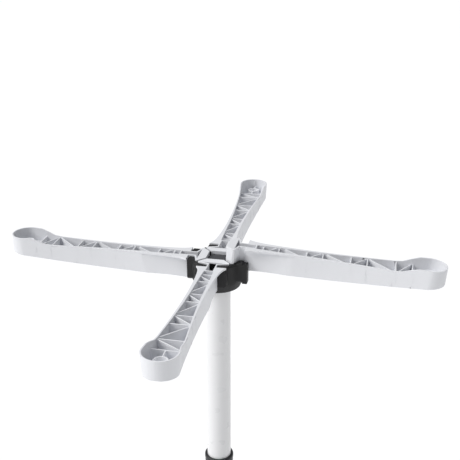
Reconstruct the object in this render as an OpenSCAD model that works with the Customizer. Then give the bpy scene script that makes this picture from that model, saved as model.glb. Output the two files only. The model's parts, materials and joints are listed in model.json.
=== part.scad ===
/* [Mast] */
// Outer diameter of the upper tube
upper_d = 45; // [35:1:50]
// Wall of the upper tube
upper_wall = 1.5; // [1:0.1:2.5]
// Length of the lower tube
lower_len = 780; // [500:10:900]
// Wall of the lower tube
lower_wall = 1.6; // [1:0.1:2.5]
// Radial gap between the two tubes, taken up by the guide plug
tube_gap = 0.9; // [0.6:0.1:2]
// Length of upper tube inside the lower tube when the mast is pulled out
overlap = 180; // [100:5:300]
// Thickness of the foot plug's flange
foot_t = 3; // [2:0.5:6]
// Depth of the foot plug and of the guide plug in their tubes
plug_skirt = 30; // [20:1:50]
// Thickness of the guide plug's sliding flange
guide_t = 10; // [6:1:20]
// Diameter of the cross pins that hold the plugs
pin_d = 4; // [3:0.5:6]

/* [Arms] */
// Distance from the mast axis to the centre of an arm's round tip
tip_s = 353.5; // [250:0.5:450]
// Radius of the round tip
tip_r = 28; // [22:0.2:34]
// Half width of the arm at its slimmest
waist_w = 15.5; // [13:0.5:20]
// Half width of the fish tail where the arm meets the hub
tail_w = 27; // [22:0.5:32]
// Distance from the mast axis to the arm's end face
tail_s = 50; // [50:0.5:60]
// Depth of the arm below the hub's top plane at its root
root_depth = 43; // [40:0.5:50]
// How much the underside rises from the root to the arm's straight part
root_rise = 5; // [0:0.5:6]
// Thickness of the fish tail's flange on top of the root
flange_t = 3.5; // [2:0.1:5]
// Half width of the arm's walls under the flange at the root
root_w = 10.2; // [9.6:0.1:14]
// How much shallower the arm's underside is at the tip
belly_rise = 21; // [10:1:25]
// Slow rise of the rim from the root to the start of the tip
rim_rise = 2.3; // [0:0.1:6]
// Step up of the rim at the tip
tip_step = 11; // [2:0.2:14]
// Wall of the arm channel
arm_wall = 2.6; // [2:0.1:4]
// Extra width of the flat rail tops at the root
rail_extra = 12; // [4:0.5:14]
// Thickness of the ribs
rib_t = 2; // [1.4:0.1:3]
// Distance between two rib nodes on one rail
rib_pitch = 74; // [60:1:90]
// First rib node, on the clockwise rail
rib_start = 78; // [76:1:90]
// How far the nodes of the other rail are ahead
rib_lead = 27; // [20:1:37]
// Outer radius of the tip boss
boss_r = 11.2; // [10.2:0.1:12]
// Bore of the tip boss
boss_bore_d = 17.6; // [8:0.1:18]

/* [Arm plug] */
// Height of the T-shaped plug
plug_h = 34; // [28:0.5:35]
// Distance from the mast axis to the plug's inner face
head_in = 17.4; // [17.4:0.1:18]
// Half width of the plug's wings
head_w = 27; // [22:0.5:28]
// Distance from the mast axis to the wings' outer corners
wing_s = 33; // [32:0.5:34]
// Distance from the mast axis to the foot of the neck
neck_s = 38.6; // [37:0.1:40]
// Half width of the neck
neck_w = 8.5; // [7:0.1:10]
// Wall of the hollow plug
plug_wall = 2.4; // [1.6:0.1:3]
// Setback of the mitred sides from the diagonal between two plugs
mitre = 2.6; // [2.4:0.1:3.5]
// Length of the closed well behind the neck
well_len = 15; // [12:1:20]
// Height of the bar across the plug's inner end
bar_h = 7; // [5:0.5:12]
// Thickness of the lid over the plug's head
lid_t = 3; // [1.6:0.1:4]

/* [Hub] */
// Outer radius of the hub at its top
hub_r = 47; // [46:0.2:50]
// Outer radius of the hub at its bottom
hub_foot_r = 40; // [36:0.2:42]
// Height of the hub
hub_h = 52; // [48:0.5:60]
// Drop of the hub's top below the plugs' tops
hub_drop = 2; // [0:0.1:4]
// Width of the bevel around the hub's top
hub_bevel = 2.4; // [1:0.2:2.4]
// Half width of the four pads that the arms butt against
pad_w = 26; // [22:0.5:28]
// Height of the pads
pad_h = 36.5; // [30:0.5:40]
// How far each pad's heel reaches under the fish tail, on the clockwise side
heel_len = 8; // [4:0.5:12]
// Chamfer on the pads' lower corners
pad_chamfer = 4; // [1:0.5:6]
// Thickness of the floor under the plugs
floor_t = 4; // [3:0.1:6]
// Wall of the hub's skirt and of its sleeve
skirt_wall = 3; // [2:0.1:4]
// Drop of the cap's top below the plugs' tops
cap_drop = 5.5; // [4:0.5:8]

/* [Bearing] */
// Radius of the spigot on which the hub turns
spigot_r = 11.5; // [9:0.1:12]
// Wall of the bearing bush
bush_wall = 2; // [1.5:0.1:2.2]
// Thickness of the bush's flange
bush_flange_t = 2; // [1:0.1:3]
// Thickness of the steel thrust washer
thrust_t = 1; // [0.5:0.1:2]
// Thickness of the top plug's flange on the tube's rim
plug_flange_t = 3; // [2:0.1:5]
// Depth of the top plug in the tube
plug_depth = 30; // [20:1:50]
// Diameter of the retaining screw
screw_d = 5; // [4:0.5:6]

/* [Collar] */
// Distance from the hub's top plane down to the collar's top
collar_drop = 416; // [380:2:500]
// Radial width of the collar's rounded lip, from the upper tube's outside
lip_wall = 4.9; // [4.5:0.1:6.5]
// Height of the collar's slim nose
nose_h = 34; // [30:1:50]
// Wall of the collar's nose around the collet
nose_wall = 1.2; // [1:0.1:1.6]
// Distance from the collar's top down to the lower tube's end
tube_end_drop = 22; // [16:1:26]
// Wall of the split collet that grips the upper tube
collet_wall = 1.9; // [1.4:0.1:2]
// Width of the collet's slits
slit_w = 3; // [1:0.5:5]
// Wall of the threaded base sleeve on the lower tube
base_wall = 3; // [2:0.1:4]
// Height of the collar's ridged grip
grip_h = 28; // [20:1:40]
// Wall of the collar's ridged grip
grip_wall = 2.8; // [2:0.1:4]
// Number of ridges around the grip
ridges = 24; // [12:1:32]
// Height of the base sleeve's flange below the grip
base_flange_h = 6; // [4:0.5:10]

/* [Fits] */
// Running clearance of bearings
run_gap = 0.05; // [0.02:0.01:0.1]
// Clearance around an arm's plug in its pocket
pocket_gap = 0.6; // [0.5:0.05:0.8]
// Gap between an arm's end face and the hub's pad
pad_gap = 1.4; // [1.3:0.05:2]
// Gap kept between faces that only come close
face_gap = 0.3; // [0.2:0.05:0.5]

/* [Right arm's rest] */
// Angle by which the right arm's root is pulled up, about its tip
lift_angle = 4.1; // [0:0.05:5]
// Distance from the mast axis to the line that the right arm tips about
lift_s = 367; // [340:1:374]
// Depth of that line below the hub's top plane
lift_drop = 17; // [5:0.5:25]

/* [Hidden] */
$fn = 96;

// A hair of extra cut, so that no two faces lie in one plane
cut = 0.5;

// Mast
skirt_t = 3;
upper_r = upper_d / 2;
upper_in_r = upper_r - upper_wall;
lower_in_r = upper_r + tube_gap;
lower_r = lower_in_r + lower_wall;
lower_top = foot_t + lower_len;
collar_z = lower_top + tube_end_drop;
hub_z = collar_z + collar_drop;

// Hub, measured down from its top plane
pocket_floor = -plug_h - face_gap;
pocket_h = cut - pocket_floor;
web_bottom = pocket_floor - floor_t;
flange_bottom = web_bottom - bush_flange_t;
thrust_top = flange_bottom - run_gap;
thrust_bottom = thrust_top - thrust_t;
upper_top = thrust_bottom - plug_flange_t;
hub_bottom = -hub_drop - hub_h;
bush_r = spigot_r + run_gap;
bush_out_r = bush_r + bush_wall;
hub_tube_r = head_in - 2 * pocket_gap;
pad_face = tail_s - pad_gap;
bevel_h = 4;
// Narrowing of the drum from its top down to the web
drum_flare = 1.5;
pad_bottom = -hub_drop - pad_h;
core_w = 11.4;
core_s = 24;
core_top = -bar_h - 2 * pocket_gap;
heel_in = root_w + pocket_gap;
heel_top = -flange_t - pocket_gap;

// Bearing stack above the web
bush_len = 19;
bush_top = web_bottom + bush_len;
washer_t = 2;
spigot_top = bush_top + run_gap;
screw_head_h = 2.8;
screw_len = 18;
slot_w = 1;
slot_deep = 1.4;
cap_t = 3;
cap_flange_t = 1.2;
hub_tube_top = -cap_drop - cap_flange_t;

// Arm
tip_end = tip_s + tip_r;
tip_round = 2;
tip_start = tip_s - 51.5;
tip_ease = 38;
waist_s = 150;
flare_len = 10;
belly_start = 120;
belly_power = 1.7;
tip_power = 1.8;
slow_flare = 5;
root_len = 45;
wall_spread = 0.0007;
rail_len = 35;
rail_wide = 2;
draft = 0.88;
rib_drop = 2;
boss_drop = 14.3;
nodes_per_rail = 4;
well_end = tail_s + well_len;

// Collar
thread_stop = 2;
rivet_head_h = 1;
lip_straight = 4;
nose_step = 2;
ridge_r = 1.2;
slit_foot = 4;
nose_roof = 4.5;
collet_room = 1;
nose_in_r = upper_r + collet_wall + 2 * run_gap + collet_room;
lip_r = upper_r + lip_wall;
nose_r = nose_in_r + nose_wall;
base_r = lower_r + base_wall;
grip_in_r = base_r + run_gap;
grip_r = grip_in_r + grip_wall;

function ease(u) = let (c = min(1, max(0, u))) c * c * (3 - 2 * c);

// Half width of the arm at a distance s from the mast axis
function flare(s) = (tail_w - waist_w - slow_flare) * exp(-(s - tail_s) / flare_len)
                    + slow_flare * pow(max(0, waist_s - s) / (waist_s - tail_s), 2);
function widen(s) = (tip_r - waist_w) * pow(max(0, s - waist_s) / (tip_s - waist_s), tip_power);
function half_w(s) = waist_w + flare(s) + widen(s);

// Half width of the walls under the flange, which are slim at the root
function body_w(s) = root_w + wall_spread * pow(s - tail_s, 2);

// Width of the flat rail top at a distance s
function rail_w(s) = arm_wall + rail_extra * exp(-(s - tail_s) / rail_len)
                     + rail_wide * (1 - ease((s - waist_s) / waist_s));

// Height of the rim, the ribs and the underside along the arm
function rim_z(s) = rim_rise * (s - tail_s) / (tip_start - tail_s) * (s < tip_start ? 1 : 0)
                    + (s < tip_start ? 0 : rim_rise + tip_step * ease((s - tip_start) / tip_ease));
function rib_z(s) = rim_z(s) - rib_drop - (boss_drop - rib_drop) * ease((s - tip_start) / tip_ease);
function belly_z(s) = -root_depth + root_rise * (1 - exp(-(s - tail_s) / root_len))
    + belly_rise * pow(max(0, s - belly_start) / (tip_end - belly_start), belly_power)
    + (s < tip_end - tip_round ? 0
       : tip_round - sqrt(max(0, pow(tip_round, 2) - pow(s - tip_end + tip_round, 2))));

// Stations along the arm, closer together at the fish tail
function stations(from, to, n) = [for (i = [0 : n]) from + (to - from) * pow(i / n, 1.4)];

// Closed plan outline of the arm from a start to the round tip, inset from the sides
function plan(from, inset_rails, tip_inset) =
    let (st = stations(from, tip_s, 30),
         side = [for (s = st) [s, half_w(s) - (inset_rails ? rail_w(s) : 0)]],
         r = tip_r - tip_inset,
         arc = [for (a = [80 : -10 : -80]) [tip_s + r * cos(a), r * sin(a)]])
    concat(side, arc, [for (i = [len(side) - 1 : -1 : 0]) [side[i][0], -side[i][1]]]);

// A plan outline raised with the mould's draft on its long sides
module drafted(points) {
    top = rim_z(tip_end) + 1;
    translate([0, 0, -root_depth - 1])
        linear_extrude(height = top + root_depth + 1, scale = [1, 1 / draft], slices = 1)
            polygon([for (p = points) [p[0], p[1] * draft]]);
}

// Everything between two heights that follow the arm
module between(low, high) {
    rotate([90, 0, 0]) linear_extrude(height = 4 * tip_r, center = true)
        polygon(concat(low, [for (i = [len(high) - 1 : -1 : 0]) high[i]]));
}

// Stations from a start to the tip's end, with close steps around its rounded bottom
function reach(from) = concat(stations(from, tip_end - tip_round, 32),
                              [for (a = [15 : 15 : 90]) tip_end - tip_round + tip_round * sin(a)]);
function rim_line(from, lift) = [for (s = reach(from)) [s, rim_z(s) + lift]];
function rib_line(from, lift) = [for (s = reach(from)) [s, rib_z(s) + lift]];
function belly_line(from, lift) = [for (s = reach(from)) [s, belly_z(s) + lift]];

// A straight rib between two points of the arm's plan
module rib(a, b) {
    len_ab = norm(b - a);
    translate([a[0], a[1], -root_depth])
        rotate([0, 0, atan2(b[1] - a[1], b[0] - a[0])])
            translate([-rib_t / 2, -rib_t / 2, 0])
                cube([len_ab + rib_t, rib_t, root_depth + tip_step + rim_rise + 1]);
}

function right_node(k) = [rib_start + k * rib_pitch, -half_w(rib_start + k * rib_pitch)];
function left_node(k) = let (s = rib_start + rib_lead + k * rib_pitch) [s, half_w(s)];

module ribs() {
    for (k = [0 : nodes_per_rail - 1]) {
        rib(right_node(k), left_node(k));
        if (k < nodes_per_rail - 1) rib(left_node(k), right_node(k + 1));
        for (p = [right_node(k), left_node(k)])
            rib([p[0], -abs(p[1])], [p[0], abs(p[1])]);
    }
}

// Half outline of the plug, grown by c (shrunk where c is negative)
function plug_side(c, neck_end) =
    let (m = mitre - c * sqrt(2))
    [[head_in - c, head_in - c - m], [head_w + c + m, head_w + c],
     [wing_s + c, head_w + c], [neck_s + c, neck_w + c], [neck_end, neck_w + c]];

function plug_outline(c, neck_end) =
    let (side = plug_side(c, neck_end))
    concat(side, [for (i = [len(side) - 1 : -1 : 0]) [side[i][0], -side[i][1]]]);

// The T-shaped plug: thin walls under a lid, with an open neck that runs into the arm's root
module plug_walls() {
    difference() {
        translate([0, 0, -plug_h]) linear_extrude(height = plug_h)
            polygon(plug_outline(0, tail_s + cut));
        difference() {
            translate([0, 0, -plug_h - cut]) linear_extrude(height = plug_h + 2 * cut)
                polygon(plug_outline(-plug_wall, tail_s + 2 * cut));
            translate([0, -head_w, -lid_t])
                cube([wing_s - plug_wall / 2, 2 * head_w, lid_t + 2 * cut]);
        }
        // the way under the bar for the hub's core
        translate([head_in - cut, -core_w - pocket_gap, -plug_h - cut])
            cube([plug_wall + 2 * cut, 2 * (core_w + pocket_gap), plug_h - bar_h + cut]);
    }
}

// The room that the arm fills: a thin flange on top, and the slim walls under it
module slim_root() {
    wide = 2 * tip_r;
    side = [for (x = stations(tail_s - cut, waist_s, 16)) [x, body_w(x)]];
    translate([0, 0, -flange_t])
        linear_extrude(height = root_depth) square([2 * tip_end, 2 * wide], center = true);
    translate([0, 0, -root_depth - 1]) linear_extrude(height = root_depth + 1 - flange_t / 2)
        polygon(concat(side, [[waist_s, wide], [tip_end + 1, wide], [tip_end + 1, -wide],
                              [waist_s, -wide]],
                       [for (i = [len(side) - 1 : -1 : 0]) [side[i][0], -side[i][1]]]));
}

// One arm along +X, seated, with its zero height in the hub's top plane
module arm_shape() {
    well_r = neck_w - plug_wall;
    difference() {
        union() {
            difference() {
                intersection() {
                    drafted(plan(tail_s, false, 0));
                    between(belly_line(tail_s, 0), rim_line(tail_s, 0));
                    slim_root();
                }
                intersection() {
                    drafted(plan(well_end + rib_t, true, arm_wall));
                    between(belly_line(well_end, arm_wall), rim_line(well_end, 1));
                }
                translate([tail_s - cut, -well_r, -plug_h + arm_wall])
                    cube([well_len + cut, 2 * well_r, plug_h + 2 * rim_rise]);
            }
            intersection() {
                drafted(plan(well_end, false, 1));
                between(belly_line(well_end, 1), rib_line(well_end, 0));
                slim_root();
                union() {
                    ribs();
                    translate([tip_s, 0, -root_depth])
                        cylinder(r = boss_r, h = root_depth + tip_step);
                    rib([rib_start + rib_lead + (nodes_per_rail - 1) * rib_pitch, 0], [tip_end, 0]);
                }
            }
            plug_walls();
        }
        translate([tip_s, 0, -root_depth - 1])
            cylinder(d = boss_bore_d, h = root_depth + rim_rise + tip_step + 2);
    }
}

module seated_arm(direction) {
    color("gainsboro") translate([0, 0, hub_z]) rotate([0, 0, direction]) arm_shape();
}

module arm_left() seated_arm(180);
module arm_front() seated_arm(270);
module arm_rear() seated_arm(90);

// The right arm's root stands pulled up in its pocket, about a line across its tip
module arm_right() {
    color("gainsboro")
        translate([lift_s, 0, hub_z - lift_drop]) rotate([0, lift_angle, 0])
            translate([-lift_s, 0, lift_drop]) arm_shape();
}

// One pad with its chamfered lower corners, as a plate across the arm
module pad() {
    low = pad_bottom;
    translate([pad_face, 0, 0]) rotate([90, 0, -90]) linear_extrude(height = pad_face - head_in)
        polygon([[-pad_w, -hub_drop], [pad_w, -hub_drop], [pad_w, low + pad_chamfer],
                 [pad_w - pad_chamfer, low], [-pad_w + pad_chamfer, low],
                 [-pad_w, low + pad_chamfer]]);
}

// The part of a pad that reaches under the fish tail on one side
module heel() {
    translate([pad_face - cut, -pad_w, pad_bottom])
        cube([heel_len + cut, pad_w - heel_in, heel_top - pad_bottom]);
}

module hub_body() {
    sleeve_in_r = upper_r + face_gap;
    sleeve_r = sleeve_in_r + skirt_wall;
    color([0.16, 0.16, 0.17]) translate([0, 0, hub_z]) difference() {
        union() {
            translate([0, 0, hub_bottom])
                cylinder(r1 = hub_foot_r, r2 = hub_r - drum_flare, h = web_bottom - hub_bottom);
            translate([0, 0, web_bottom])
                cylinder(r1 = hub_r - drum_flare, r2 = hub_r, h = -hub_drop - bevel_h - web_bottom);
            translate([0, 0, -hub_drop - bevel_h])
                cylinder(r1 = hub_r, r2 = hub_r - hub_bevel, h = bevel_h);
            for (a = [0 : 90 : 270]) rotate([0, 0, a]) {
                pad();
                heel();
            }
        }
        // pockets for the four plugs, open at the top, around the hub's core
        difference() {
            union() {
                for (a = [0 : 90 : 270]) rotate([0, 0, a])
                    translate([0, 0, pocket_floor]) linear_extrude(height = pocket_h)
                        polygon(plug_outline(pocket_gap, pad_face + cut));
                translate([-head_in, -head_in, pocket_floor])
                    cube([2 * head_in, 2 * head_in, pocket_h]);
            }
            for (a = [0, 90]) rotate([0, 0, a])
                translate([-core_s, -core_w, pocket_floor - cut])
                    cube([2 * core_s, 2 * core_w, core_top - pocket_floor + cut]);
            translate([0, 0, pocket_floor - cut])
                cylinder(r = hub_tube_r, h = hub_tube_top - pocket_floor + cut);
        }
        // bore for the bush, and the recess for the cap above it
        translate([0, 0, web_bottom - cut]) cylinder(r = bush_out_r, h = plug_h + floor_t);
        // sleeve over the mast and the recess for the bush's flange
        translate([0, 0, hub_bottom - cut])
            cylinder(r = sleeve_in_r, h = web_bottom - hub_bottom + cut);
        // hollow skirt between the sleeve and the outer wall, with ribs across it
        difference() {
            translate([0, 0, hub_bottom - cut])
                cylinder(r = hub_foot_r - skirt_wall, h = web_bottom - hub_bottom + cut);
            translate([0, 0, hub_bottom - 2 * cut]) cylinder(r = sleeve_r, h = hub_h);
            for (a = [0 : 45 : 135]) rotate([0, 0, a + 22.5])
                translate([-hub_r, -1, hub_bottom - 2 * cut]) cube([2 * hub_r, 2, hub_h]);
        }
    }
}

// Bearing bush, pressed into the hub, with its flange on the thrust washer
module hub_bush() {
    flange_r = upper_r - 1;
    color("ivory") translate([0, 0, hub_z]) difference() {
        union() {
            translate([0, 0, web_bottom - run_gap])
                cylinder(r = bush_out_r, h = bush_len + run_gap);
            translate([0, 0, flange_bottom]) cylinder(r = flange_r, h = bush_flange_t);
        }
        translate([0, 0, flange_bottom - cut]) cylinder(r = bush_r, h = hub_h);
    }
}

// Cap that closes the central tube over the screw
module hub_cap() {
    color([0.2, 0.2, 0.21]) translate([0, 0, hub_z + hub_tube_top - cap_t]) {
        cylinder(r = bush_out_r, h = cap_t);
        translate([0, 0, cap_t]) cylinder(r = hub_tube_r, h = cap_flange_t);
    }
}

// Steel washer that keeps the bush on the spigot
module retaining_washer() {
    color("silver") translate([0, 0, hub_z + spigot_top]) difference() {
        cylinder(r = bush_out_r - face_gap, h = washer_t);
        translate([0, 0, -cut]) cylinder(d = screw_d + face_gap, h = washer_t + 2 * cut);
    }
}

// Pan-head screw into the spigot
module retaining_screw() {
    color("silver") translate([0, 0, hub_z + spigot_top + washer_t]) difference() {
        union() {
            cylinder(r1 = screw_d, r2 = screw_d * 0.8, h = screw_head_h);
            translate([0, 0, -washer_t - screw_len])
                cylinder(d = screw_d, h = screw_len + washer_t + cut);
        }
        for (a = [0, 90]) rotate([0, 0, a])
            translate([-screw_d / 2, -slot_w / 2, screw_head_h - slot_deep])
                cube([screw_d, slot_w, slot_deep + cut]);
    }
}

// Washer between the top plug and the bush's flange
module thrust_washer() {
    color("silver") translate([0, 0, hub_z + thrust_bottom]) difference() {
        cylinder(r = upper_r - 1, h = thrust_t);
        translate([0, 0, -cut]) cylinder(r = spigot_r, h = thrust_t + 2 * cut);
    }
}

// Plug pressed into the upper tube, with the spigot on which the hub turns
module top_plug() {
    color([0.2, 0.2, 0.21]) translate([0, 0, hub_z]) difference() {
        union() {
            translate([0, 0, upper_top - plug_depth]) cylinder(r = upper_in_r, h = plug_depth + cut);
            translate([0, 0, upper_top]) cylinder(r = upper_r, h = plug_flange_t);
            translate([0, 0, upper_top + cut])
                cylinder(r = spigot_r, h = spigot_top - upper_top - cut);
        }
        translate([0, 0, upper_top - plug_depth - cut])
            cylinder(r = upper_in_r - skirt_t, h = plug_depth - skirt_t);
        translate([0, 0, spigot_top - screw_len]) cylinder(d = screw_d, h = screw_len + cut);
    }
}

module tube(r_out, r_in, h) {
    difference() {
        cylinder(r = r_out, h = h);
        translate([0, 0, -cut]) cylinder(r = r_in, h = h + 2 * cut);
    }
}

// A pin across the mast axis
module cross_pin(r) {
    rotate([0, 90, 0]) cylinder(d = pin_d, h = 2 * r, center = true);
}

upper_bottom = lower_top - overlap;
guide_pin_z = upper_bottom + plug_skirt / 2;
foot_pin_z = foot_t + plug_skirt / 2;

module mast_upper() {
    color("white") difference() {
        translate([0, 0, upper_bottom]) tube(upper_r, upper_in_r, hub_z + upper_top - upper_bottom);
        translate([0, 0, guide_pin_z]) cross_pin(upper_r + 1);
    }
}

// Hollow plug for a tube's end: a skirt up inside it and a flange below
module end_plug(skirt_r, flange_r, flange_t) {
    difference() {
        union() {
            translate([0, 0, -flange_t]) cylinder(r = flange_r, h = flange_t);
            cylinder(r = skirt_r, h = plug_skirt);
        }
        cylinder(r = skirt_r - skirt_t, h = plug_skirt + cut);
        translate([0, 0, plug_skirt / 2]) cross_pin(skirt_r + 1);
    }
}

module guide_plug() {
    color([0.85, 0.85, 0.83]) translate([0, 0, upper_bottom])
        end_plug(upper_in_r, lower_in_r - run_gap, guide_t);
}

module guide_plug_pin() {
    color("silver") translate([0, 0, guide_pin_z]) cross_pin(upper_r);
}

module mast_lower() {
    color("white") difference() {
        translate([0, 0, foot_t]) tube(lower_r, lower_in_r, lower_len);
        translate([0, 0, seat_z]) tube(lower_r + 1, seat_r, lower_len);
        translate([0, 0, foot_pin_z]) cross_pin(lower_r + 1);
        rivet_places() rotate([0, 90, 0]) cylinder(d = pin_d, h = 2 * base_wall + 2, center = true);
    }
}

module foot_plug() {
    color([0.2, 0.2, 0.21]) translate([0, 0, foot_t]) end_plug(lower_in_r, lower_r, foot_t);
}

module foot_plug_pin() {
    color("silver") translate([0, 0, foot_pin_z]) cross_pin(lower_r);
}

// Lower end of the collar's grip and the flange of the base under it
grip_bottom = collar_z - nose_h - grip_h;
flange_top = grip_bottom - face_gap;
rivet_z = flange_top - base_flange_h / 2;
// Seat turned on the lower tube's top end for the base sleeve, from just under its flange
seat_step = 0.4;
seat_lead = 1;
seat_r = lower_r - seat_step;
seat_z = flange_top - base_flange_h - seat_lead;

module rivet_places() {
    for (a = [90, 270]) rotate([0, 0, a]) translate([lower_r, 0, rivet_z]) children();
}

// Threaded sleeve fixed on the lower tube
module collar_base() {
    color([0.25, 0.25, 0.27]) difference() {
        union() {
            translate([0, 0, flange_top - base_flange_h])
                tube(base_r, seat_r, base_flange_h + grip_h + face_gap - thread_stop);
            translate([0, 0, flange_top - base_flange_h]) tube(grip_r, seat_r, base_flange_h);
        }
        rivet_places() rotate([0, 90, 0])
            cylinder(d = pin_d, h = 2 * (base_wall + grip_wall + 1), center = true);
    }
}

// Two rivets through the base sleeve and the lower tube
module collar_rivets() {
    shank = grip_r - lower_in_r;
    color("silver") for (a = [90, 270]) rotate([0, 0, a]) translate([lower_in_r, 0, rivet_z])
        rotate([0, 90, 0]) {
            cylinder(d = pin_d, h = shank);
            translate([0, 0, shank])
                cylinder(r1 = pin_d * 0.8, r2 = pin_d * 0.5, h = rivet_head_h);
        }
}

// Split ring that the collar squeezes onto the upper tube
module collar_collet() {
    low = lower_top;
    high = collar_z - nose_roof - face_gap;
    color([0.85, 0.85, 0.83]) translate([0, 0, low]) difference() {
        tube(upper_r + face_gap + collet_wall, upper_r + face_gap, high - low);
        for (a = [0 : 60 : 120]) rotate([0, 0, a])
            translate([-base_r, -slit_w / 2, slit_foot]) cube([2 * base_r, slit_w, high]);
    }
}

// Twist-lock collar: a slim nose with a rounded lip, over a ridged grip
module twist_collar() {
    lip_in_r = upper_r + face_gap;
    roll = lip_r - lip_in_r - ridge_r;
    low = -nose_h - grip_h;
    color([0.25, 0.25, 0.27]) translate([0, 0, collar_z]) difference() {
        union() {
            rotate_extrude() {
                // lip, rounded outside, and the nose below it
                lip_low = -roll - lip_straight;
                translate([lip_r - roll, -roll]) circle(r = roll);
                translate([0, lip_low]) square([lip_r, lip_straight]);
                translate([0, -roll]) square([lip_r - roll, roll]);
                polygon([[0, lip_low], [lip_r, lip_low], [nose_r, lip_low - nose_step],
                         [nose_r, -nose_h + lip_straight], [grip_r - 1, -nose_h], [grip_r - 1, low],
                         [0, low]]);
            }
            for (i = [0 : ridges - 1]) rotate([0, 0, i * 360 / ridges])
                translate([grip_r - 1, 0, low + ridge_r]) cylinder(r = ridge_r, h = grip_h - 2 * ridge_r);
        }
        translate([0, 0, low - cut]) cylinder(r = lip_in_r, h = -low + 2 * cut);
        translate([0, 0, low - cut]) cylinder(r = nose_in_r, h = -low - nose_roof + cut);
        translate([0, 0, low - cut]) cylinder(r = grip_in_r, h = grip_h + cut);
    }
}

hub_body();
hub_bush();
hub_cap();
arm_front();
arm_left();
arm_rear();
arm_right();
retaining_screw();
retaining_washer();
thrust_washer();
top_plug();
mast_upper();
guide_plug();
guide_plug_pin();
twist_collar();
collar_collet();
collar_base();
collar_rivets();
mast_lower();
foot_plug();
foot_plug_pin();
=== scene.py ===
# %% [markdown]
# # A rotary clothes dryer's head
# The dryer is a white telescopic mast with a charcoal hub on top. Four light grey arms, moulded as
# ribbed channels, hang in pockets of the hub by T-shaped plugs. The exact shapes come from the CAD
# model. This lesson adds what a drawing leaves out: rounded edges, finishes, light and a camera.

# %% Load the frame
import json
import math

import bpy
from mathutils import Matrix, Vector


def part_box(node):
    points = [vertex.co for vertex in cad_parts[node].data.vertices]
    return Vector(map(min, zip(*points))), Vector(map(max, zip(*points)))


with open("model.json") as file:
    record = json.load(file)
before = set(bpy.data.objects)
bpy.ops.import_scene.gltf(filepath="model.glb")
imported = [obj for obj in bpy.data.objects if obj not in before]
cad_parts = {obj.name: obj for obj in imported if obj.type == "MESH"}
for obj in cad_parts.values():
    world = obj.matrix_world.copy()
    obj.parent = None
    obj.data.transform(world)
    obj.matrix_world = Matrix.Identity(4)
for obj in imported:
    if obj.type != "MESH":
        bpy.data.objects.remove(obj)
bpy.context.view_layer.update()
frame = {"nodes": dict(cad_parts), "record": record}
nodes = frame["nodes"]

# %% [markdown]
# ## The camera
# Everything is judged through the camera, so it comes first. It stands in front and a little to the
# right, above the hub, and looks down at it. Its place is given from the hub's top, because the
# arms and the hub are what it looks at. Two directions, to the right and up, fix how it is turned.

# %% Place the camera
PICTURE = 460                       # picture units along each side
FOCAL = 802.5                       # focal length in the same units
MM = 0.001
TIP_RISE = 13.3                     # an arm's tip stands this far over the hub's top, in mm
hub_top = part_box("arm_front")[1].z - TIP_RISE * MM
eye = Vector((279.11, -1239.66, 560.40)) * MM + Vector((0, 0, hub_top))
to_right = Vector((0.973595, 0.227937, -0.012581))
to_top = Vector((-0.079620, 0.390700, 0.917068))
to_back = to_right.cross(to_top)

camera_data = bpy.data.cameras.new("camera")
camera_data.sensor_width = 36
camera_data.lens = FOCAL * camera_data.sensor_width / PICTURE
camera_data.shift_x = 0.0495
camera_data.shift_y = 0.0452
camera_data.clip_end = 60
camera = bpy.data.objects.new("camera", camera_data)
turned = Matrix((to_right, to_top, to_back)).transposed().to_4x4()
turned.translation = eye
camera.matrix_world = turned
bpy.context.collection.objects.link(camera)
bpy.context.scene.camera = camera
print("hub top at", round(hub_top, 4), "m, camera at", [round(v, 3) for v in eye])

# %% [markdown]
# ## Soft studio light
# The dryer stands in an even white studio. A broad key sun from the upper left gives each upright
# wall its own tone, and a second sun overhead brightens the open channels. A very weak one from the
# right keeps the shaded walls from going flat. The surroundings are much dimmer as light than they
# look to the camera, so that walls turned from the key keep their darker tone.

# %% Light the studio
def add_sun(name, from_point, strength, softness, colour):
    """A sun that shines from a direction, with soft-edged shadows."""
    data = bpy.data.lights.new(name, "SUN")
    data.energy = strength
    data.angle = math.radians(softness)
    data.color = colour
    lamp = bpy.data.objects.new(name, data)
    lamp.rotation_euler = Vector(from_point).to_track_quat("Z", "Y").to_euler()
    bpy.context.collection.objects.link(lamp)
    return lamp


add_sun("key_light", (-1.0, -0.45, 0.80), 2.20, 35, (1.0, 0.997, 0.99))
add_sun("top_light", (0.0, 0.05, 1.0), 0.95, 50, (0.96, 0.975, 1.0))
add_sun("right_fill", (1.0, -0.25, 0.25), 0.05, 60, (0.94, 1.0, 0.88))

SKY_AS_SEEN = 1.0                   # strength of the surroundings to the camera
SKY_AS_LIGHT = 0.26                 # and as light on the dryer
world = bpy.data.worlds.new("studio")
bpy.context.scene.world = world
world.use_nodes = True
tree = world.node_tree
tree.nodes.clear()
seen = tree.nodes.new("ShaderNodeBackground")
seen.inputs["Color"].default_value = (1, 1, 1, 1)
seen.inputs["Strength"].default_value = SKY_AS_SEEN
light = tree.nodes.new("ShaderNodeBackground")
light.inputs["Color"].default_value = (0.985, 0.99, 1.0, 1)
light.inputs["Strength"].default_value = SKY_AS_LIGHT
rays = tree.nodes.new("ShaderNodeLightPath")
choose = tree.nodes.new("ShaderNodeMixShader")
sky = tree.nodes.new("ShaderNodeOutputWorld")
tree.links.new(rays.outputs["Is Camera Ray"], choose.inputs["Fac"])
tree.links.new(light.outputs[0], choose.inputs[1])
tree.links.new(seen.outputs[0], choose.inputs[2])
tree.links.new(choose.outputs[0], sky.inputs["Surface"])
bpy.context.scene.view_settings.view_transform = "Standard"
bpy.context.scene.view_settings.look = "None"

# %% [markdown]
# ## The floor
# A white floor lies under the mast's foot. It is a little brighter than full white in this light,
# so it runs into the surroundings with no horizon, and only a soft shadow shows near the foot.

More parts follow.
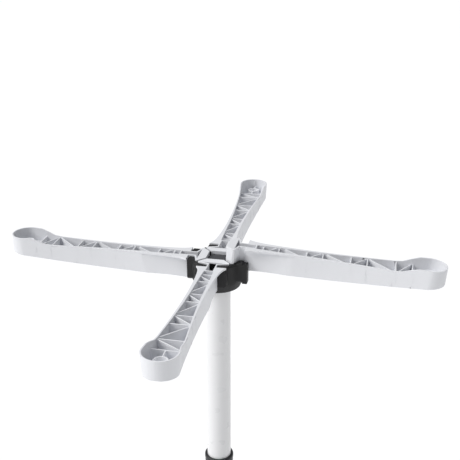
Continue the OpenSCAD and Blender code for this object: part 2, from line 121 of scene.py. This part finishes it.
# %% Lay the floor
FLOOR_GLOW = 0.14                   # lifts the floor to full white
FLOOR_GAP = 2 * MM                  # the floor lies this far under the foot
floor_mesh = bpy.data.meshes.new("floor")
half = 30
floor_mesh.from_pydata([(-half, -half, 0), (half, -half, 0), (half, half, 0), (-half, half, 0)],
                       [], [(0, 1, 2, 3)])
floor = bpy.data.objects.new("floor", floor_mesh)
floor.location.z = -FLOOR_GAP
bpy.context.collection.objects.link(floor)
floor_paint = bpy.data.materials.new("floor_white")
floor_paint.use_nodes = True
floor_shader = floor_paint.node_tree.nodes["Principled BSDF"]
floor_shader.inputs["Base Color"].default_value = (0.93, 0.93, 0.935, 1)
floor_shader.inputs["Roughness"].default_value = 0.9
floor_shader.inputs["Specular IOR Level"].default_value = 0.1
floor_shader.inputs["Emission Color"].default_value = (1, 1, 1, 1)
floor_shader.inputs["Emission Strength"].default_value = FLOOR_GLOW
floor_mesh.materials.append(floor_paint)

# %% [markdown]
# ## Shader groups
# Moulded plastic, powder coat and zinc share three effects: a fine surface grain, edges that are
# rubbed a little paler, and a darker film in the corners that is partly dust and partly painted
# shade. Each effect is a node group, built once, with its sizes as named inputs. A group only puts
# out masks and heights. The shader itself stays in the material, where each finish has its own
# values.

# %% Helpers for node groups
def new_group(name, inputs, outputs):
    """An empty shader group with named float inputs (name, default) and float outputs."""
    group = bpy.data.node_groups.new(name, "ShaderNodeTree")
    for label, value in inputs:
        socket = group.interface.new_socket(label, in_out="INPUT", socket_type="NodeSocketFloat")
        socket.default_value = value
    for label in outputs:
        group.interface.new_socket(label, in_out="OUTPUT", socket_type="NodeSocketFloat")
    return group, group.nodes.new("NodeGroupInput"), group.nodes.new("NodeGroupOutput")


def add_node(group, kind, values=(), **settings):
    """A node with its settings, and the default values of its inputs by position or name."""
    made = group.nodes.new(kind)
    for key, value in settings.items():
        setattr(made, key, value)
    for key, value in dict(values).items():
        made.inputs[key].default_value = value
    return made


def join(group, pairs):
    """Links each (output socket, input socket) pair."""
    for start, end in pairs:
        group.links.new(start, end)

# %% [markdown]
# ### Grain
# The mould of such a part is spark eroded, which leaves a fine pebbled skin. Two noises at
# different scales make its height: the pebbles, and a slow waviness where the wall has shrunk.

# %% Grain group
grain, grain_in, grain_out = new_group(
    "Moulded grain", [("Pebbles per metre", 1800), ("Waves per metre", 40), ("Wave share", 0.5)],
    ["Height", "Tone"])
where = add_node(grain, "ShaderNodeTexCoord")
pebbles = add_node(grain, "ShaderNodeTexNoise", {"Detail": 2.0, "Roughness": 0.55})
waves = add_node(grain, "ShaderNodeTexNoise", {"Detail": 3.0, "Roughness": 0.5})
share = add_node(grain, "ShaderNodeMath", operation="MULTIPLY")
total = add_node(grain, "ShaderNodeMath", operation="ADD")
join(grain, [(where.outputs["Object"], pebbles.inputs["Vector"]),
             (where.outputs["Object"], waves.inputs["Vector"]),
             (grain_in.outputs["Pebbles per metre"], pebbles.inputs["Scale"]),
             (grain_in.outputs["Waves per metre"], waves.inputs["Scale"]),
             (waves.outputs["Fac"], share.inputs[0]),
             (grain_in.outputs["Wave share"], share.inputs[1]),
             (pebbles.outputs["Fac"], total.inputs[0]),
             (share.outputs[0], total.inputs[1]),
             (total.outputs[0], grain_out.inputs["Height"]),
             (waves.outputs["Fac"], grain_out.inputs["Tone"])])
print("grain group has", len(grain.nodes), "nodes")

# %% [markdown]
# ### Rubbed edges
# An edge is where a rounded copy of the surface would face another way than the surface does. The
# Bevel node gives that rounded normal, and its angle to the real one is the mask, broken up by a
# noise, because hands and washing lines rub an edge unevenly.

# %% Rubbed edge group
rubbed, rubbed_in, rubbed_out = new_group(
    "Rubbed edges", [("Width in metres", 0.0008), ("Patches per metre", 90)], ["Mask"])
place = add_node(rubbed, "ShaderNodeTexCoord")
rounded = add_node(rubbed, "ShaderNodeBevel", samples=4)
facing = add_node(rubbed, "ShaderNodeNewGeometry")
angle = add_node(rubbed, "ShaderNodeVectorMath", operation="DOT_PRODUCT")
turned_away = add_node(rubbed, "ShaderNodeMapRange",
                       {"From Min": 0.995, "From Max": 0.80, "To Min": 0.0, "To Max": 1.0})
patches = add_node(rubbed, "ShaderNodeTexNoise", {"Detail": 4.0, "Roughness": 0.6})
broken = add_node(rubbed, "ShaderNodeMapRange", {"From Min": 0.35, "From Max": 0.65})
mask = add_node(rubbed, "ShaderNodeMath", operation="MULTIPLY")
join(rubbed, [(rubbed_in.outputs["Width in metres"], rounded.inputs["Radius"]),
              (rounded.outputs["Normal"], angle.inputs[0]),
              (facing.outputs["Normal"], angle.inputs[1]),
              (angle.outputs["Value"], turned_away.inputs["Value"]),
              (place.outputs["Object"], patches.inputs["Vector"]),
              (rubbed_in.outputs["Patches per metre"], patches.inputs["Scale"]),
              (patches.outputs["Fac"], broken.inputs["Value"]),
              (turned_away.outputs["Result"], mask.inputs[0]),
              (broken.outputs["Result"], mask.inputs[1]),
              (mask.outputs[0], rubbed_out.inputs["Mask"])])

# %% [markdown]
# ### Dust and painted shade in corners
# Dust stays where rain and hands don't reach: in the channels, under ribs and around the plugs.
# The same mask also paints in the shade that falls there. Ambient occlusion finds those places,
# and a noise thins the film here and there.

# %% Corner dust and painted shade group
dust_and_shade, dust_and_shade_in, dust_and_shade_out = new_group(
    "Corner dust and painted shade", [("Reach in metres", 0.012), ("Patches per metre", 60)], ["Mask"])
spot = add_node(dust_and_shade, "ShaderNodeTexCoord")
# Ambient occlusion marks sheltered hollows, which get partly dust and partly painted shade.
shelter = add_node(dust_and_shade, "ShaderNodeAmbientOcclusion", samples=6)
hidden = add_node(dust_and_shade, "ShaderNodeMapRange", {"From Min": 0.85, "From Max": 0.25})
dust_and_shade_patches = add_node(dust_and_shade, "ShaderNodeTexNoise", {"Detail": 5.0, "Roughness": 0.65})
thin = add_node(dust_and_shade, "ShaderNodeMapRange", {"From Min": 0.25, "From Max": 0.7, "To Min": 0.35})
dust_and_shade_mask = add_node(dust_and_shade, "ShaderNodeMath", operation="MULTIPLY")
join(dust_and_shade, [(dust_and_shade_in.outputs["Reach in metres"], shelter.inputs["Distance"]),
            (shelter.outputs["AO"], hidden.inputs["Value"]),
            (spot.outputs["Object"], dust_and_shade_patches.inputs["Vector"]),
            (dust_and_shade_in.outputs["Patches per metre"], dust_and_shade_patches.inputs["Scale"]),
            (dust_and_shade_patches.outputs["Fac"], thin.inputs["Value"]),
            (hidden.outputs["Result"], dust_and_shade_mask.inputs[0]),
            (thin.outputs["Result"], dust_and_shade_mask.inputs[1]),
            (dust_and_shade_mask.outputs[0], dust_and_shade_out.inputs["Mask"])])

# %% [markdown]
# ## Finishes
# Every finish is a Principled shader with the same plan: a main colour, drifting slowly to a
# second one, paler on rubbed edges and greyer in corners, where dust lies and shade is painted in.
# Roughness drifts with the colour, and the grain is a bump of a few hundredths of a millimetre.

# %% A function for one finish
def finish(name, colour, drift, edge, dust_and_shade_colour, rough, bump, pebbles=1800, wear=0.5, dust_and_shade_share=0.3,
           metallic=0.0, specular=0.5, coat=0.0):
    """A material: its main colour and drift, edge colour, corner colour for dust and painted shade,
    roughness and bump.
    """
    material = bpy.data.materials.new(name)
    material.use_nodes = True
    made = material.node_tree
    shader = made.nodes["Principled BSDF"]
    shader.inputs["Metallic"].default_value = metallic
    shader.inputs["Specular IOR Level"].default_value = specular
    shader.inputs["Coat Weight"].default_value = coat
    shader.inputs["Coat Roughness"].default_value = 0.25

    def use(group, **values):
        used = add_node(made, "ShaderNodeGroup")
        used.node_tree = group
        for label, value in values.items():
            used.inputs[label.replace("_", " ")].default_value = value
        return used

    skin = use(grain, Pebbles_per_metre=pebbles)
    worn = use(rubbed)
    corner_dust_and_shade = use(dust_and_shade)

    def blend(below, top, amount, strength):
        """Mixes a colour over another by a mask times a strength."""
        scale = add_node(made, "ShaderNodeMath", {1: strength}, operation="MULTIPLY")
        mix = add_node(made, "ShaderNodeMix", data_type="RGBA")
        made.links.new(amount, scale.inputs[0])
        made.links.new(scale.outputs[0], mix.inputs[0])
        if isinstance(below, tuple):
            mix.inputs[6].default_value = (*below, 1)
        else:
            made.links.new(below, mix.inputs[6])
        mix.inputs[7].default_value = (*top, 1)
        return mix.outputs[2]

    drifting = blend(colour, drift, skin.outputs["Tone"], 1.0)
    edged = blend(drifting, edge, worn.outputs["Mask"], wear)
    # Corners go towards the corner colour: partly dust, partly painted shade in the hollows.
    dust_and_shade_mixed = blend(edged, dust_and_shade_colour, corner_dust_and_shade.outputs["Mask"], dust_and_shade_share)
    made.links.new(dust_and_shade_mixed, shader.inputs["Base Color"])
    roughness = add_node(made, "ShaderNodeMapRange", {"From Min": 0.3, "From Max": 0.7,
                                                      "To Min": rough[0], "To Max": rough[1]})
    made.links.new(skin.outputs["Tone"], roughness.inputs["Value"])
    made.links.new(roughness.outputs["Result"], shader.inputs["Roughness"])
    relief = add_node(made, "ShaderNodeBump", {"Strength": 0.6, "Distance": bump})
    made.links.new(skin.outputs["Height"], relief.inputs["Height"])
    made.links.new(relief.outputs["Normal"], shader.inputs["Normal"])
    return material

# %% [markdown]
# The arms are a cool light grey, satin and finely grained. The hub is a charcoal glass-filled
# plastic, and its cap is a shade paler. The mast is powder coated: smooth, with a faint orange
# peel and a clear gloss. Bushes are natural plastic, and screws, washers and pins are zinc plated.

# %% Mix the finishes
# The fourth colour of each finish is its corner colour, for dust and painted shade; the arms'
# bluish one paints the shade in their channels.
finishes = {
    "arm_plastic": finish("arm_plastic", (0.79, 0.80, 0.83), (0.82, 0.825, 0.85),
                          (0.88, 0.88, 0.88), (0.62, 0.65, 0.74), (0.42, 0.55), 0.00004,
                          wear=0.5, dust_and_shade_share=0.25, specular=0.4),
    "hub_plastic": finish("hub_plastic", (0.016, 0.016, 0.017), (0.022, 0.022, 0.022),
                          (0.07, 0.07, 0.07), (0.05, 0.048, 0.045), (0.46, 0.60), 0.00006,
                          pebbles=1500, wear=0.5, dust_and_shade_share=0.15, specular=0.28),
    "cap_plastic": finish("cap_plastic", (0.055, 0.055, 0.062), (0.065, 0.065, 0.07),
                          (0.16, 0.16, 0.16), (0.03, 0.03, 0.03), (0.40, 0.55), 0.00005,
                          wear=0.4, specular=0.35),
    "collar_plastic": finish("collar_plastic", (0.022, 0.022, 0.024), (0.03, 0.03, 0.031),
                             (0.10, 0.10, 0.10), (0.05, 0.05, 0.05), (0.38, 0.5), 0.00005,
                             wear=0.5, dust_and_shade_share=0.15, specular=0.35),
    "bush_plastic": finish("bush_plastic", (0.70, 0.69, 0.64), (0.74, 0.73, 0.69),
                           (0.8, 0.8, 0.78), (0.42, 0.40, 0.36), (0.3, 0.45), 0.00002,
                           wear=0.2, specular=0.5),
    "mast_paint": finish("mast_paint", (0.80, 0.80, 0.81), (0.825, 0.825, 0.83),
                         (0.86, 0.86, 0.86), (0.55, 0.55, 0.55), (0.26, 0.36), 0.00003,
                         pebbles=420, wear=0.05, dust_and_shade_share=0.0, specular=0.5, coat=0.25),
    "steel": finish("steel", (0.58, 0.58, 0.59), (0.66, 0.65, 0.62), (0.78, 0.78, 0.78),
                    (0.30, 0.28, 0.25), (0.26, 0.42), 0.00002, pebbles=900, wear=0.4,
                    metallic=1.0, specular=0.5),
}
print("finishes:", sorted(finishes))

# %% [markdown]
# ## Rounded edges on every CAD piece
# A real moulding has no razor edge. The CAD solids arrive as loose triangles, so a small Geometry
# Nodes tree first merges their points and shades all faces smooth. Decimate then joins the
# triangles of each flat face, Bevel rounds every corner a little, and Weighted Normal keeps large
# flat faces flat. All of it is done with modifiers, so the CAD meshes stay as they are.

# %% Geometry Nodes: one closed skin
skin_tree = bpy.data.node_groups.new("One closed skin", "GeometryNodeTree")
skin_tree.is_modifier = True
face = skin_tree.interface
face.new_socket("Geometry", in_out="INPUT", socket_type="NodeSocketGeometry")
merge_socket = face.new_socket("Merge distance", in_out="INPUT", socket_type="NodeSocketFloat")
merge_socket.default_value = 0.00001
face.new_socket("Geometry", in_out="OUTPUT", socket_type="NodeSocketGeometry")
tree_in = skin_tree.nodes.new("NodeGroupInput")
tree_out = skin_tree.nodes.new("NodeGroupOutput")
merged = skin_tree.nodes.new("GeometryNodeMergeByDistance")
smooth = skin_tree.nodes.new("GeometryNodeSetShadeSmooth")
join(skin_tree, [(tree_in.outputs["Geometry"], merged.inputs["Geometry"]),
                 (tree_in.outputs["Merge distance"], merged.inputs["Distance"]),
                 (merged.outputs["Geometry"], smooth.inputs["Geometry"]),
                 (smooth.outputs["Geometry"], tree_out.inputs["Geometry"])])

# %% Round the edges
EDGE_MM = {"arm_front": 0.5, "arm_left": 0.5, "arm_rear": 0.5, "arm_right": 0.5, "hub_body": 0.6,
           "hub_cap": 0.5, "twist_collar": 0.5, "collar_base": 0.5, "foot_plug": 0.8}
OTHER_EDGE_MM = 0.2                 # for every piece not in the list
SHARPEST = 32                       # corners that turn more than this, in degrees, are rounded
FLATTEST = 0.3                      # faces that turn less than this, in degrees, are joined
MERGE = 0.01 * MM                   # points closer than this are one


def round_edges(piece, width):
    """Adds the four modifiers that turn a CAD solid into a moulding with soft edges."""
    closed = piece.modifiers.new("closed skin", "NODES")
    closed.node_group = skin_tree
    closed[merge_socket.identifier] = MERGE
    flat = piece.modifiers.new("flat faces", "DECIMATE")
    flat.decimate_type = "DISSOLVE"
    flat.angle_limit = math.radians(FLATTEST)
    edge = piece.modifiers.new("soft edge", "BEVEL")
    edge.width = width * MM
    edge.segments = 2
    edge.limit_method = "ANGLE"
    edge.angle_limit = math.radians(SHARPEST)
    edge.use_clamp_overlap = False
    shade = piece.modifiers.new("flat shading", "WEIGHTED_NORMAL")
    shade.keep_sharp = False


slots = {row["node"]: row["material_slot"] for row in frame["record"]["subparts"]}
for name, piece in sorted(nodes.items()):
    round_edges(piece, EDGE_MM.get(name, OTHER_EDGE_MM))
    piece.data.materials.clear()
    piece.data.materials.append(finishes[slots[name]])
view_layer = bpy.context.evaluated_depsgraph_get()
for name in ("arm_front", "hub_body"):
    evaluated = nodes[name].evaluated_get(view_layer).data
    print(name, "has", len(evaluated.polygons), "faces once rounded")
